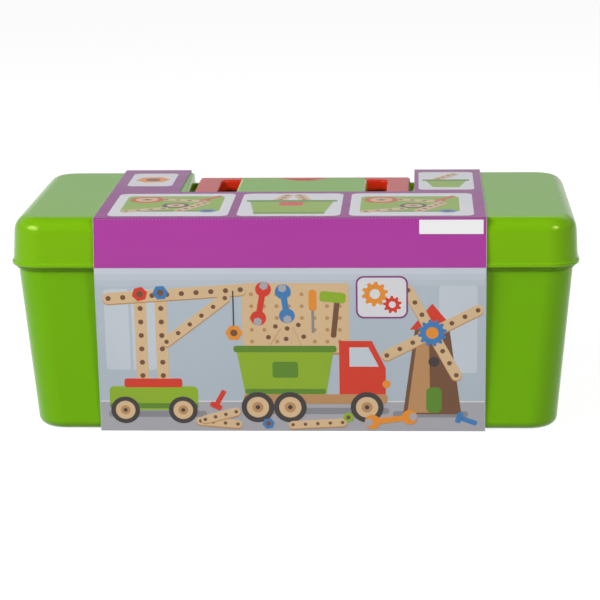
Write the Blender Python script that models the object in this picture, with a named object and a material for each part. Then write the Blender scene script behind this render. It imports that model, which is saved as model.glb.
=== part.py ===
"""Toy tool box: a tapered plastic tub, a hinged lid with a folding carrying handle,
a rocking latch on the front, and a printed cardboard sleeve round the middle.

Metres. +X runs along the box to the right, +Y to the hinge side, +Z up.
The origin lies on the ground under the middle of the box.
"""
import math

import bmesh
import bpy

# Outer sizes of the box
LIP_LENGTH = 0.3300
LIP_DEPTH = 0.1760
PARTING_HEIGHT = 0.1000
LID_TOP = 0.1291
WALL = 0.0020

# Clearances and helper lengths
GAP = 0.0003
OVERRUN = 0.0040
SEAM = 0.0006

# Lid shell
LID_DRAFT = math.radians(2.6)
LID_TOP_ROUND = 0.0086
LID_CORNER_ROUND = 0.0180
LIP_REACH = 0.0008
LIP_HEIGHT = 0.0029
LIP_ROUND = 0.0007

# Tub shell
FLANGE_SETBACK = 0.0024
FLANGE_THICKNESS = 0.0012
TUB_END_SETBACK = 0.0033
TUB_SIDE_SETBACK = 0.0038
TUB_END_DRAFT = math.radians(4.8)
TUB_SIDE_DRAFT = math.radians(5.77)
TUB_CORNER_ROUND = 0.0174
TUB_FOOT_ROUND = 0.0050
RIDGE_HEIGHT = 0.0030
RIDGE_CLEARANCE = 0.0005
RIDGE_ROUND = 0.0004

# Arched panel pressed into each end wall of the tub
PANEL_WIDTH = 0.0900
PANEL_BOTTOM = 0.0220
PANEL_TOP = 0.0800
PANEL_DEPTH = 0.0009
PANEL_TOP_ROUND = 0.0260
PANEL_FOOT_ROUND = 0.0050

# Channels in the lid's top that hold the folded handle
CHANNEL_DEPTH = 0.0107
CHANNEL_DRAFT = math.radians(1.5)
CHANNEL_FLARE = math.radians(2.2)
CHANNEL_EDGE_ROUND = 0.0027
CHANNEL_CORNER_ROUND = 0.0032
CHANNEL_SIDE_CLEARANCE = 0.0011
CHANNEL_END_CLEARANCE = 0.0018
SILL_HEIGHT = 0.0029
SILL_FALL = 0.0002
ISLAND_WIDTH = 0.0799
ISLAND_TO_GRIP = 0.0080
SCOOP_DEPTH = 0.0098
SCOOP_ROUND = 0.0128

# Folding handle
HANDLE_WIDTH = 0.1334
HANDLE_LEG_WIDTH = 0.0146
HANDLE_THICKNESS = 0.0074
HANDLE_LENGTH = 0.0671
HANDLE_GRIP_DEPTH = 0.0104
HANDLE_BACK_SETBACK = 0.0104
HANDLE_FLOOR_CLEARANCE = 0.0004
HANDLE_EDGE_ROUND = 0.0016
HANDLE_OUTER_ROUND = 0.0022
HANDLE_INNER_ROUND = 0.0040
HANDLE_STUB_RADIUS = 0.0024
HANDLE_STUB_CLEARANCE = 0.0003
HANDLE_STUB_SHOWING = 0.0012

# Lid hinge: two brackets on the tub's back wall
HINGE_SPACING = 0.1900
HINGE_DROP = 0.0055
HINGE_BARREL_RADIUS = 0.0023
HINGE_WALL_CLEARANCE = 0.00035
HINGE_PIN_RADIUS = 0.0010
HINGE_PIN_CLEARANCE = 0.00025
HINGE_LID_KNUCKLE = 0.0120
HINGE_TUB_KNUCKLE = 0.0070
HINGE_SIDE_CLEARANCE = 0.0004
HINGE_SHELF_THICKNESS = 0.0012
HINGE_GUSSET_DROP = 0.0030
LID_OPEN_ANGLE = math.radians(105)

# Rocking latch on the front
LATCH_WIDTH = 0.0780
LATCH_ARM_WIDTH = 0.0670
LATCH_THICKNESS = 0.0016
LATCH_DROP = 0.0040
LATCH_LEVER_LENGTH = 0.0250
LATCH_ARM_LENGTH = 0.0235
LATCH_WALL_CLEARANCE = 0.00035
LATCH_BARREL_RADIUS = 0.0016
LATCH_STEP_DROP = 0.0007
LATCH_FACE_SETBACK = 0.0006
LATCH_STUB_RADIUS = 0.00125
LATCH_STUB_CLEARANCE = 0.00025
LATCH_CORNER_ROUND = 0.0050
LATCH_SWING = math.radians(2.8)
HOOK_REACH = 0.0022
HOOK_HEIGHT = 0.0024
HOOK_TIP_HEIGHT = 0.0012
EAR_WIDTH = 0.0040
EAR_RADIUS = 0.0022
EAR_SIDE_CLEARANCE = 0.0004

# Pocket in the lid's front for the latch's arm, and the bar it hooks over
POCKET_SIDE_CLEARANCE = 0.0008
POCKET_TOP_CLEARANCE = 0.0010
POCKET_BACK_CLEARANCE = 0.0005
POCKET_ROUND = 0.0030
BAR_HEIGHT = 0.0046
BAR_TOP_CLEARANCE = 0.0005
BAR_END_SETBACK = 0.0060

# Cardboard sleeve, folded round the box from the bottom to the top
CARD = 0.0005
SLEEVE_WIDTH = 0.2260
SLEEVE_OFFSET = -0.0020
SLEEVE_LIP_EASE = 0.0008
SLEEVE_EDGE_EASE = 0.0002
SLEEVE_FOLD_ROUND = 0.0012
SLEEVE_RIM_RISE = 0.0010
SLEEVE_TOP_EASE = 0.0001
SLEEVE_BACK_STEP = 0.0105
WINDOW_WIDTH = 0.1428
WINDOW_FRONT_CLEARANCE = 0.0081
WINDOW_BACK_DROP = 0.0180

# Blank paper label stuck on the sleeve's front
LABEL_WIDTH = 0.0367
LABEL_HEIGHT = 0.0082
LABEL_THICKNESS = 0.0002
LABEL_GAP = 0.0001
LABEL_EDGE_DISTANCE = 0.0018
LABEL_TOP_DISTANCE = 0.0013

# Steps on round forms
CORNER_STEPS = 8
FILLET_STEPS = 5
SMALL_STEPS = 3
ROUND_SIDES = 24
SMOOTH_ANGLE = math.radians(35)

# Heights and planes that several pieces share
FOOT_HEIGHT = CARD + GAP
LID_BOTTOM = PARTING_HEIGHT + GAP
LIP_TOP = LID_BOTTOM + LIP_HEIGHT
FLANGE_BOTTOM = PARTING_HEIGHT - FLANGE_THICKNESS
CHANNEL_FLOOR = LID_TOP - CHANNEL_DEPTH
HANDLE_BOTTOM = CHANNEL_FLOOR + HANDLE_FLOOR_CLEARANCE
HANDLE_TOP = HANDLE_BOTTOM + HANDLE_THICKNESS
HANDLE_PIVOT_Z = HANDLE_BOTTOM + HANDLE_THICKNESS / 2
HANDLE_BACK = LIP_DEPTH / 2 - HANDLE_BACK_SETBACK
HANDLE_GRIP_FRONT = HANDLE_BACK - HANDLE_GRIP_DEPTH
HANDLE_PIVOT_Y = HANDLE_BACK - HANDLE_LENGTH
ISLAND_BACK = HANDLE_GRIP_FRONT - ISLAND_TO_GRIP
WINDOW_FRONT = HANDLE_PIVOT_Y - WINDOW_FRONT_CLEARANCE
SLEEVE_LEFT = SLEEVE_OFFSET - SLEEVE_WIDTH / 2
SLEEVE_RIGHT = SLEEVE_OFFSET + SLEEVE_WIDTH / 2


def lid_half(height, inset=0.0):
    """Half length and half depth of the lid's outer wall at a height, less an inset."""
    lean = math.tan(LID_DRAFT) * (height - LID_BOTTOM)
    taken = LIP_REACH + lean + inset
    return LIP_LENGTH / 2 - taken, LIP_DEPTH / 2 - taken


def tub_half(height, inset=0.0):
    """Half length and half depth of the tub's outer wall at a height, less an inset."""
    below = PARTING_HEIGHT - height
    half_length = LIP_LENGTH / 2 - TUB_END_SETBACK - inset - math.tan(TUB_END_DRAFT) * below
    half_depth = LIP_DEPTH / 2 - TUB_SIDE_SETBACK - inset - math.tan(TUB_SIDE_DRAFT) * below
    return half_length, half_depth


HINGE_Z = PARTING_HEIGHT - HINGE_DROP
HINGE_Y = tub_half(HINGE_Z)[1] + HINGE_WALL_CLEARANCE + HINGE_BARREL_RADIUS
LATCH_Z = PARTING_HEIGHT - LATCH_DROP
LATCH_Y = -(tub_half(LATCH_Z)[1] + LATCH_WALL_CLEARANCE + LATCH_BARREL_RADIUS)
LATCH_ARM_OUTSIDE = lid_half(LID_BOTTOM)[1] - LATCH_FACE_SETBACK
LATCH_ARM_INSIDE = LATCH_ARM_OUTSIDE - LATCH_THICKNESS
LATCH_TOP = LATCH_Z + LATCH_ARM_LENGTH
LATCH_BOTTOM = LATCH_Z - LATCH_LEVER_LENGTH
HOOK_UNDERSIDE = LATCH_TOP - HOOK_HEIGHT
HOOK_TIP = LATCH_ARM_INSIDE - HOOK_REACH
HOOK_TRAVEL = (HOOK_UNDERSIDE - LATCH_Z) * math.sin(LATCH_SWING)
BAR_FACE = HOOK_TIP - GAP
BAR_TOP = HOOK_UNDERSIDE - BAR_TOP_CLEARANCE
POCKET_BACK = HOOK_TIP - HOOK_TRAVEL - POCKET_BACK_CLEARANCE
POCKET_HALF = LATCH_ARM_WIDTH / 2 + POCKET_SIDE_CLEARANCE
POCKET_TOP = LATCH_TOP + POCKET_TOP_CLEARANCE
EAR_INNER = LATCH_WIDTH / 2 + EAR_SIDE_CLEARANCE
EAR_OUTER = EAR_INNER + EAR_WIDTH


def clear_scene():
    """Empties the scene that the script starts in."""
    for thing in list(bpy.data.objects):
        bpy.data.objects.remove(thing, do_unlink=True)


def plastic(name, colour, roughness, metallic=0.0):
    """A plain Principled material."""
    material = bpy.data.materials.new(name)
    material.use_nodes = True
    shader = material.node_tree.nodes["Principled BSDF"]
    shader.inputs["Base Color"].default_value = (*colour, 1.0)
    shader.inputs["Roughness"].default_value = roughness
    shader.inputs["Metallic"].default_value = metallic
    material.diffuse_color = (*colour, 1.0)
    return material


def outline(corners, rounds, grow=0.0, steps=CORNER_STEPS):
    """A closed outline, counter-clockwise, with every corner rounded.

    Growing moves all the sides outwards: outer corners get rounder, inner corners
    sharper, and the number of points stays the same.
    """
    points = []
    count = len(corners)
    for index in range(count):
        before, here, after = (corners[(index + k) % count] for k in (-1, 0, 1))
        way_in = direction(before, here)
        way_out = direction(here, after)
        turn = way_in[0] * way_out[1] - way_in[1] * way_out[0]
        along = way_in[0] * way_out[0] + way_in[1] * way_out[1]
        side = 1.0 if turn > 0 else -1.0
        radius = rounds[index] + side * grow
        reach = grow / (1.0 + along)
        corner = (
            here[0] + (way_in[1] + way_out[1]) * reach,
            here[1] - (way_in[0] + way_out[0]) * reach,
        )
        half_turn = math.atan2(abs(turn), along) / 2
        setback = radius * math.tan(half_turn)
        centre = (
            corner[0] - way_in[0] * setback - side * way_in[1] * radius,
            corner[1] - way_in[1] * setback + side * way_in[0] * radius,
        )
        start = math.atan2(-side * way_in[0], side * way_in[1])
        for step in range(steps + 1):
            angle = start + side * 2 * half_turn * step / steps
            points.append((centre[0] + radius * math.cos(angle), centre[1] + radius * math.sin(angle)))
    return points


def direction(start, end):
    """Unit direction in the plane from one point to another."""
    across, up = end[0] - start[0], end[1] - start[1]
    length = math.hypot(across, up)
    return across / length, up / length


def box_ring(halves, corner, height):
    """A rounded rectangle round the Z axis at a height."""
    half_x, half_y = halves
    corners = [(half_x, -half_y), (half_x, half_y), (-half_x, half_y), (-half_x, -half_y)]
    return [(x, y, height) for x, y in outline(corners, [corner] * len(corners))]


def loft(name, rings, material):
    """A closed solid through rings with equal numbers of points, capped at both ends."""
    mesh = bpy.data.meshes.new(name)
    shape = bmesh.new()
    rows = [[shape.verts.new(point) for point in ring] for ring in rings]
    count = len(rows[0])
    for lower, upper in zip(rows, rows[1:]):
        for index in range(count):
            after = (index + 1) % count
            shape.faces.new((lower[index], lower[after], upper[after], upper[index]))
    shape.faces.new(list(reversed(rows[0])))
    shape.faces.new(rows[-1])
    bmesh.ops.recalc_face_normals(shape, faces=shape.faces)
    shape.to_mesh(mesh)
    shape.free()
    return place(name, mesh, material)


def tube(name, outer_rings, inner_rings, material):
    """A closed solid between an outer and an inner skin that share their two ends."""
    mesh = bpy.data.meshes.new(name)
    shape = bmesh.new()
    rows = [[shape.verts.new(point) for point in ring] for ring in outer_rings + inner_rings]
    count = len(rows[0])
    for row in range(len(rows)):
        lower, upper = rows[row], rows[(row + 1) % len(rows)]
        for index in range(count):
            after = (index + 1) % count
            shape.faces.new((lower[index], lower[after], upper[after], upper[index]))
    bmesh.ops.recalc_face_normals(shape, faces=shape.faces)
    shape.to_mesh(mesh)
    shape.free()
    return place(name, mesh, material)


def place(name, mesh, material):
    """Puts a mesh in the scene under a name, shaded smooth where it is round."""
    mesh.materials.append(material)
    mesh.shade_smooth()
    mesh.set_sharp_from_angle(angle=SMOOTH_ANGLE)
    thing = bpy.data.objects.new(name, mesh)
    bpy.context.scene.collection.objects.link(thing)
    return thing


def prism_along_x(name, profile, left, right, material):
    """A profile of (y, z) points drawn out from left to right."""
    return loft(name, [[(x, y, z) for y, z in profile] for x in (left, right)], material)


def prism_along_y(name, profile, front, back, material):
    """A profile of (x, z) points drawn out from front to back."""
    return loft(name, [[(x, y, z) for x, z in profile] for y in (front, back)], material)


def block(name, low, high, material):
    """A box between two corners."""
    profile = [(low[1], low[2]), (high[1], low[2]), (high[1], high[2]), (low[1], high[2])]
    return prism_along_x(name, profile, low[0], high[0], material)


def rod(name, radius, left, right, y, z, material):
    """A round bar along X."""
    turns = [2 * math.pi * side / ROUND_SIDES for side in range(ROUND_SIDES)]
    profile = [(y + radius * math.cos(turn), z + radius * math.sin(turn)) for turn in turns]
    return prism_along_x(name, profile, left, right, material)


def combine(target, tool, operation):
    """Adds, cuts or keeps the common part of a tool in a target, and hides the tool."""
    modifier = target.modifiers.new(tool.name, "BOOLEAN")
    modifier.operation = operation
    modifier.solver = "EXACT"
    modifier.object = tool
    tool.hide_render = True
    tool.display_type = "WIRE"
    tool.hide_set(True)


def add(target, *tools):
    """Joins tools to a target."""
    for tool in tools:
        combine(target, tool, "UNION")


def cut(target, *tools):
    """Cuts tools out of a target."""
    for tool in tools:
        combine(target, tool, "DIFFERENCE")


def set_origin(thing, place_at):
    """Moves an object's origin to a point and leaves its shape where it is."""
    for vertex in thing.data.vertices:
        vertex.co -= type(vertex.co)(place_at)
    thing.location = place_at


def quarter(steps):
    """Angles from zero to a right angle."""
    return [math.pi / 2 * step / steps for step in range(steps + 1)]


def lid_shell(material):
    """The lid's thin shell with its rounded top edge and the lip round its rim."""
    rings = []
    bend = LID_TOP - LID_TOP_ROUND
    for angle in reversed(quarter(FILLET_STEPS)):
        inset = LID_TOP_ROUND * (1 - math.cos(angle))
        height = bend + LID_TOP_ROUND * math.sin(angle)
        rings.append(box_ring(lid_half(height, inset), LID_CORNER_ROUND - inset, height))
    rings.append(box_ring(lid_half(LIP_TOP), LID_CORNER_ROUND, LIP_TOP))
    lip_corner = LID_CORNER_ROUND + LIP_REACH
    for reach, height in (
        (LIP_ROUND, LIP_TOP),
        (0.0, LIP_TOP - LIP_ROUND),
        (0.0, LID_BOTTOM + LIP_ROUND),
        (LIP_ROUND, LID_BOTTOM),
    ):
        halves = (LIP_LENGTH / 2 - reach, LIP_DEPTH / 2 - reach)
        rings.append(box_ring(halves, lip_corner - reach, height))
    rings.append(box_ring(lid_half(LID_BOTTOM, WALL), LID_CORNER_ROUND - WALL, LID_BOTTOM))
    inner_round = LID_TOP_ROUND - WALL
    for angle in quarter(FILLET_STEPS):
        inset = WALL + inner_round * (1 - math.cos(angle))
        height = bend + inner_round * math.sin(angle)
        rings.append(box_ring(lid_half(height, inset), LID_CORNER_ROUND - inset, height))
    return loft("lid", rings, material)


def channel_corners(back):
    """Plan of the handle's channels: two legs and a cross run, round a middle island."""
    side = HANDLE_WIDTH / 2 + CHANNEL_SIDE_CLEARANCE
    front = HANDLE_PIVOT_Y - HANDLE_THICKNESS / 2 - CHANNEL_END_CLEARANCE
    side_at_back = side + math.tan(CHANNEL_FLARE) * (back - front)
    island = ISLAND_WIDTH / 2
    slope = math.sqrt(2.0)
    scoop_centre = ISLAND_BACK - SCOOP_DEPTH + SCOOP_ROUND
    scoop_point = scoop_centre - SCOOP_ROUND * slope
    scoop_side = ISLAND_BACK - scoop_point
    corners = [
        (-side, front),
        (-island, front),
        (-island, ISLAND_BACK),
        (-scoop_side, ISLAND_BACK),
        (0.0, scoop_point),
        (scoop_side, ISLAND_BACK),
        (island, ISLAND_BACK),
        (island, front),
        (side, front),
        (side_at_back, back),
        (-side_at_back, back),
    ]
    rounds = [CHANNEL_CORNER_ROUND] * len(corners)
    rounds[4] = SCOOP_ROUND
    return corners, rounds


def channel_cutter(material):
    """The space of the channels, with a low sill left at the back.

    It flares at the top, so that the channels' edges come out rounded.
    """
    arc_start = LID_TOP - CHANNEL_EDGE_ROUND
    sill_top = CHANNEL_FLOOR + SILL_HEIGHT
    sill_front = lid_half(sill_top, WALL)[1]
    behind = LIP_DEPTH / 2 + OVERRUN
    levels = [(CHANNEL_FLOOR, 0.0), (sill_top, 0.0), (sill_top + SILL_FALL, 0.0)]
    for angle in quarter(FILLET_STEPS)[:-1]:
        grow = CHANNEL_EDGE_ROUND * (1 - math.cos(angle))
        levels.append((arc_start + CHANNEL_EDGE_ROUND * math.sin(angle), grow))
    (low, start), (high, end) = levels[-2:]
    slope = (end - start) / (high - low)
    above = LID_TOP + SEAM
    levels.append((above, end + slope * (above - high)))
    rings = []
    for height, grow in levels:
        corners, rounds = channel_corners(behind if height > sill_top else sill_front)
        draft = math.tan(CHANNEL_DRAFT) * (min(height, arc_start) - CHANNEL_FLOOR)
        shape = outline(corners, rounds, min(grow + draft, CHANNEL_CORNER_ROUND - GAP))
        rings.append([(x, y, height) for x, y in shape])
    return loft("channel_space", rings, material)


def channel_walls(material):
    """The trough that carries the channels inside the lid."""
    inside = lid_half(CHANNEL_FLOOR, WALL)[1]
    corners, rounds = channel_corners(inside + SEAM - WALL)
    shape = outline(corners, rounds, WALL)
    heights = (CHANNEL_FLOOR - WALL, LID_TOP - WALL + SEAM)
    rings = [[(x, y, height) for x, y in shape] for height in heights]
    return loft("channel_trough", rings, material)


def pocket_profile(grow):
    """Front view of the latch's pocket, open below the lid's rim."""
    side, top = POCKET_HALF, POCKET_TOP
    bottom = LID_BOTTOM - OVERRUN
    corners = [(-side, bottom), (side, bottom), (side, top), (-side, top)]
    return outline(corners, [POCKET_ROUND] * len(corners), grow, SMALL_STEPS)


def add_pocket(lid, material):
    """The pocket for the latch's arm, with the bar that the hook catches."""
    inside = -(POCKET_BACK - WALL)
    front = -(lid_half(LID_TOP - LID_TOP_ROUND)[1] - SEAM)
    walls = prism_along_y("pocket_walls", pocket_profile(WALL), front, inside, material)
    trim = block(
        "pocket_trim",
        (-LIP_LENGTH, -LIP_DEPTH, PARTING_HEIGHT - LIP_DEPTH),
        (LIP_LENGTH, LIP_DEPTH, LID_BOTTOM),
        material,
    )
    combine(walls, trim, "DIFFERENCE")
    space = prism_along_y(
        "pocket_space", pocket_profile(0.0), -(LIP_DEPTH / 2 + OVERRUN), -POCKET_BACK, material
    )
    half_bar = POCKET_HALF - BAR_END_SETBACK
    bar = block(
        "latch_bar",
        (-half_bar, -BAR_FACE, BAR_TOP - BAR_HEIGHT),
        (half_bar, -(POCKET_BACK - SEAM), BAR_TOP),
        material,
    )
    add(lid, walls)
    cut(lid, space)
    add(lid, bar)


def hinge_knuckle_on_lid(centre, material):
    """The lid's leaf between the tub's two cheeks: a web that ends in a barrel."""
    half = HINGE_LID_KNUCKLE / 2
    front = HINGE_Y - lid_half(LID_BOTTOM, WALL)[1] - GAP / 2
    back = LIP_DEPTH / 2 - LIP_ROUND / 2 - HINGE_Y
    web = block(
        "lid_hinge_web",
        (centre - half, HINGE_Y - front, HINGE_Z),
        (centre + half, HINGE_Y + back, LIP_TOP - LIP_ROUND),
        material,
    )
    barrel = rod(
        "lid_hinge_barrel", HINGE_BARREL_RADIUS, centre - half, centre + half, HINGE_Y, HINGE_Z, material
    )
    return web, barrel


def shelf_drop():
    """How far the stop shelf lies under the hinge axis, so that the web rests on its edge."""
    web_back = LIP_DEPTH / 2 - LIP_ROUND / 2 - HINGE_Y
    edge = HINGE_BARREL_RADIUS
    sine, cosine = math.sin(LID_OPEN_ANGLE), math.cos(LID_OPEN_ANGLE)
    along = (edge - web_back * cosine) / sine
    return web_back * sine - along * cosine + GAP


def bracket_profile(top_half):
    """Side view of a hinge cheek: a barrel on a foot that runs down to a sloping gusset."""
    inside = tub_half(HINGE_Z)[1] - SEAM
    outside = HINGE_Y + HINGE_BARREL_RADIUS
    shelf = HINGE_Z - shelf_drop()
    foot = shelf - HINGE_SHELF_THICKNESS
    low_inside = tub_half(foot - HINGE_GUSSET_DROP)[1] - SEAM
    profile = [(low_inside, foot - HINGE_GUSSET_DROP), (outside, foot)]
    if not top_half:
        return profile + [(outside, shelf), (inside, shelf)]
    for step in range(ROUND_SIDES // 2 + 1):
        angle = math.pi * step / (ROUND_SIDES // 2)
        y = HINGE_Y + HINGE_BARREL_RADIUS * math.cos(angle)
        z = HINGE_Z + HINGE_BARREL_RADIUS * math.sin(angle)
        profile.append((y, z))
    return profile + [(inside, HINGE_Z)]


def hinge_bracket_on_tub(centre, material):
    """Two cheeks with a stop shelf between them, on the tub's back wall."""
    inner = HINGE_LID_KNUCKLE / 2 + HINGE_SIDE_CLEARANCE
    outer = inner + HINGE_TUB_KNUCKLE
    solids = [
        prism_along_x("hinge_cheek", bracket_profile(True), centre + low, centre + high, material)
        for low, high in ((-outer, -inner), (inner, outer))
    ]
    reach = inner + SEAM
    solids.append(
        prism_along_x("hinge_shelf", bracket_profile(False), centre - reach, centre + reach, material)
    )
    return solids


def handle_bores(material):
    """Holes in the channels' outer walls for the handle's stubs."""
    near = HANDLE_WIDTH / 2
    far = near + CHANNEL_SIDE_CLEARANCE + WALL + OVERRUN
    radius = HANDLE_STUB_RADIUS + HANDLE_STUB_CLEARANCE
    bores = []
    for side in (-1, 1):
        left, right = sorted((side * near, side * far))
        bores.append(rod("handle_bore", radius, left, right, HANDLE_PIVOT_Y, HANDLE_PIVOT_Z, material))
    return bores


def make_lid(material):
    """The lid with its channels, latch pocket and hinge knuckles."""
    lid = lid_shell(material)
    add(lid, channel_walls(material))
    add_pocket(lid, material)
    for centre in (-HINGE_SPACING / 2, HINGE_SPACING / 2):
        add(lid, *hinge_knuckle_on_lid(centre, material))
        cut(lid, hinge_bore(centre, material))
    cut(lid, channel_cutter(material), *handle_bores(material))
    set_origin(lid, (0.0, HINGE_Y, HINGE_Z))
    return lid


def hinge_bore(centre, material):
    """The hole for one hinge pin, through the cheeks and the lid's knuckle."""
    half = hinge_half_width() + OVERRUN
    radius = HINGE_PIN_RADIUS + HINGE_PIN_CLEARANCE
    return rod("hinge_bore", radius, centre - half, centre + half, HINGE_Y, HINGE_Z, material)


def hinge_half_width():
    """Half the length of one hinge along its pin."""
    return HINGE_LID_KNUCKLE / 2 + HINGE_SIDE_CLEARANCE + HINGE_TUB_KNUCKLE


def tub_shell(material):
    """The tub's thin shell, its outer flange and the ridge that locates the lid."""
    rings = []
    bend = FOOT_HEIGHT + TUB_FOOT_ROUND
    for angle in reversed(quarter(FILLET_STEPS)):
        inset = TUB_FOOT_ROUND * (1 - math.cos(angle))
        height = bend - TUB_FOOT_ROUND * math.sin(angle)
        rings.append(box_ring(tub_half(height, inset), TUB_CORNER_ROUND - inset, height))
    rings.append(box_ring(tub_half(FLANGE_BOTTOM), TUB_CORNER_ROUND, FLANGE_BOTTOM))
    edge = (LIP_LENGTH / 2 - FLANGE_SETBACK, LIP_DEPTH / 2 - FLANGE_SETBACK)
    edge_corner = LID_CORNER_ROUND + LIP_REACH - FLANGE_SETBACK
    for height in (FLANGE_BOTTOM, PARTING_HEIGHT):
        rings.append(box_ring(edge, edge_corner, height))
    ridge_top = PARTING_HEIGHT + RIDGE_HEIGHT
    ridge = lid_half(LID_BOTTOM, WALL + RIDGE_CLEARANCE)
    ridge_corner = LID_CORNER_ROUND - WALL - RIDGE_CLEARANCE
    rings.append(box_ring(ridge, ridge_corner, PARTING_HEIGHT))
    rings.append(box_ring(ridge, ridge_corner, ridge_top - RIDGE_ROUND))
    inner_ridge = (ridge[0] - RIDGE_ROUND, ridge[1] - RIDGE_ROUND)
    rings.append(box_ring(inner_ridge, ridge_corner - RIDGE_ROUND, ridge_top))
    inner_corner = TUB_CORNER_ROUND - WALL
    rings.append(box_ring(tub_half(PARTING_HEIGHT, WALL), inner_corner, ridge_top))
    rings.append(box_ring(tub_half(PARTING_HEIGHT, WALL), inner_corner, PARTING_HEIGHT))
    inner_round = TUB_FOOT_ROUND - WALL
    for angle in quarter(FILLET_STEPS):
        inset = WALL + inner_round * (1 - math.cos(angle))
        height = bend - inner_round * math.sin(angle)
        rings.append(box_ring(tub_half(height, inset), TUB_CORNER_ROUND - inset, height))
    return loft("tub", rings, material)


def end_panel(side, material):
    """Cutter for the arched panel in one end wall, as deep at its top as at its foot."""
    half = PANEL_WIDTH / 2
    corners = [(-half, PANEL_BOTTOM), (half, PANEL_BOTTOM), (half, PANEL_TOP), (-half, PANEL_TOP)]
    rounds = [PANEL_FOOT_ROUND, PANEL_FOOT_ROUND, PANEL_TOP_ROUND, PANEL_TOP_ROUND]
    shape = outline(corners, rounds)
    rings = []
    for depth in (PANEL_DEPTH, -OVERRUN):
        rings.append([(side * tub_half(z, depth)[0], y, z) for y, z in shape])
    return loft("end_panel", rings, material)


def latch_ear(side, material):
    """One ear on the tub's front wall that carries a stub of the latch."""
    inside = -(tub_half(LATCH_Z - EAR_RADIUS)[1] - WALL / 2)
    profile = [(inside, LATCH_Z + EAR_RADIUS)]
    for step in range(ROUND_SIDES // 2 + 1):
        angle = math.pi / 2 + math.pi * step / (ROUND_SIDES // 2)
        profile.append((LATCH_Y + EAR_RADIUS * math.cos(angle), LATCH_Z + EAR_RADIUS * math.sin(angle)))
    profile.append((inside, LATCH_Z - EAR_RADIUS - EAR_RADIUS))
    left, right = sorted((side * EAR_INNER, side * EAR_OUTER))
    return prism_along_x("latch_ear", profile, left, right, material)


def front_gap_in_flange(material):
    """Cutter that opens the tub's flange where the latch stands."""
    half = EAR_OUTER + EAR_SIDE_CLEARANCE
    wall = tub_half(PARTING_HEIGHT)[1]
    return block(
        "flange_gap",
        (-half, -(LIP_DEPTH / 2 + OVERRUN), FLANGE_BOTTOM - SEAM),
        (half, -wall, PARTING_HEIGHT + RIDGE_HEIGHT + OVERRUN),
        material,
    )


def front_gap_in_ridge(material):
    """Cutter that opens the locating ridge in front of the lid's pocket."""
    half = POCKET_HALF + WALL + POCKET_SIDE_CLEARANCE
    return block(
        "ridge_gap",
        (-half, -(LIP_DEPTH / 2), PARTING_HEIGHT),
        (half, -(POCKET_BACK - WALL - OVERRUN), PARTING_HEIGHT + RIDGE_HEIGHT + OVERRUN),
        material,
    )


def knuckle_notch_in_flange(centre, material):
    """Cutter that lets the lid's hinge web down through the flange."""
    half = HINGE_LID_KNUCKLE / 2 + HINGE_SIDE_CLEARANCE
    wall = tub_half(PARTING_HEIGHT)[1] + GAP / 2
    return block(
        "flange_notch",
        (centre - half, wall, FLANGE_BOTTOM - SEAM),
        (centre + half, LIP_DEPTH, PARTING_HEIGHT + SEAM),
        material,
    )


def make_tub(material):
    """The tub with its hinge brackets, latch ears and end panels."""
    tub = tub_shell(material)
    cut(tub, front_gap_in_flange(material), front_gap_in_ridge(material))
    for centre in (-HINGE_SPACING / 2, HINGE_SPACING / 2):
        cut(tub, knuckle_notch_in_flange(centre, material))
        add(tub, *hinge_bracket_on_tub(centre, material))
        cut(tub, hinge_bore(centre, material))
    for side in (-1, 1):
        add(tub, latch_ear(side, material))
        cut(tub, end_panel(side, material))
    reach = EAR_OUTER + OVERRUN
    bore = LATCH_STUB_RADIUS + LATCH_STUB_CLEARANCE
    cut(tub, rod("latch_bore", bore, -reach, reach, LATCH_Y, LATCH_Z, material))
    return tub


def make_hinge_pin(name, centre, material):
    """A steel pin as long as one hinge."""
    half = hinge_half_width()
    return rod(name, HINGE_PIN_RADIUS, centre - half, centre + half, HINGE_Y, HINGE_Z, material)


def handle_frame(material):
    """The flat U of the handle, with rounded edges."""
    half = HANDLE_WIDTH / 2
    inner = half - HANDLE_LEG_WIDTH
    corners = [
        (-half, HANDLE_PIVOT_Y),
        (-inner, HANDLE_PIVOT_Y),
        (-inner, HANDLE_GRIP_FRONT),
        (inner, HANDLE_GRIP_FRONT),
        (inner, HANDLE_PIVOT_Y),
        (half, HANDLE_PIVOT_Y),
        (half, HANDLE_BACK),
        (-half, HANDLE_BACK),
    ]
    rings = []
    arcs = quarter(SMALL_STEPS)
    for angle in reversed(arcs):
        inset = HANDLE_EDGE_ROUND * (1 - math.cos(angle))
        height = HANDLE_BOTTOM + HANDLE_EDGE_ROUND * (1 - math.sin(angle))
        rings.append(handle_ring(corners, inset, height))
    for angle in arcs:
        inset = HANDLE_EDGE_ROUND * (1 - math.cos(angle))
        height = HANDLE_TOP - HANDLE_EDGE_ROUND * (1 - math.sin(angle))
        rings.append(handle_ring(corners, inset, height))
    return loft("handle", rings, material)


def handle_ring(corners, inset, height):
    """The handle's plan, drawn in by an inset, except at the ends of its legs."""
    moved = []
    for x, y in corners:
        at_outside = abs(x) > HANDLE_WIDTH / 2 - HANDLE_LEG_WIDTH / 2
        outwards = -inset if at_outside else inset
        along = {HANDLE_GRIP_FRONT: inset, HANDLE_BACK: -inset}.get(y, 0.0)
        moved.append((x + outwards * math.copysign(1.0, x), y + along))
    end, inside, outside = GAP, HANDLE_INNER_ROUND + inset, HANDLE_OUTER_ROUND - inset
    shape = outline(moved, [end, end, inside, inside, end, end, outside, outside])
    return [(x, y, height) for x, y in shape]


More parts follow.
